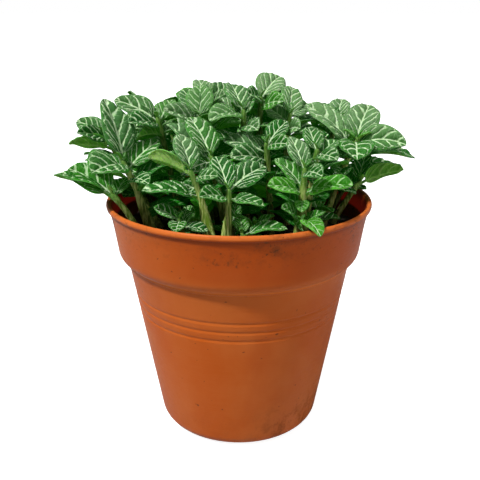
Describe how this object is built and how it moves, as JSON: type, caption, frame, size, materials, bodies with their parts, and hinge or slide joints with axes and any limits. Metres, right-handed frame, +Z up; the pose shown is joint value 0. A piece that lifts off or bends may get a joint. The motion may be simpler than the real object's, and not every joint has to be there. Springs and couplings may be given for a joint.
{
  "type": "potted nerve plant",
  "caption": "Small-leaved nerve plant with white-veined oval leaves on short upright stems, growing in a round tapered plastic nursery pot with a flared lip",
  "frame": {"origin": "the middle of the pot's underside, at the height of the surface that the pot stands on", "axes": "+Z up along the pot's axis, the side that the picture shows at -Y, +X to the right as seen there"},
  "size_m": [0.1576, 0.1396, 0.1615],
  "materials": {
    "pot": "satin",
    "soil": "matte",
    "foliage": "satin"
  },
  "bodies": {
    "root": {"pot": "pot", "soil": "soil", "shoot_1": "foliage", "shoot_2": "foliage", "shoot_3": "foliage", "shoot_4": "foliage", "shoot_5": "foliage", "shoot_6": "foliage", "shoot_7": "foliage", "shoot_8": "foliage", "shoot_9": "foliage", "shoot_10": "foliage", "shoot_11": "foliage", "shoot_12": "foliage", "shoot_13": "foliage", "shoot_14": "foliage", "shoot_15": "foliage", "shoot_16": "foliage", "shoot_17": "foliage", "shoot_18": "foliage", "shoot_19": "foliage", "shoot_20": "foliage", "shoot_21": "foliage", "shoot_back_1": "foliage", "shoot_back_2": "foliage", "shoot_back_3": "foliage", "shoot_back_4": "foliage", "shoot_back_5": "foliage", "shoot_back_6": "foliage", "shoot_back_7": "foliage", "shoot_back_8": "foliage", "shoot_back_9": "foliage", "shoot_back_10": "foliage", "shoot_back_11": "foliage", "shoot_back_12": "foliage", "shoot_back_13": "foliage", "shoot_back_14": "foliage", "shoot_back_15": "foliage", "shoot_back_16": "foliage", "shoot_back_17": "foliage", "shoot_low_1": "foliage", "shoot_low_2": "foliage", "shoot_low_3": "foliage", "shoot_low_4": "foliage"}
  },
  "joints": []
}
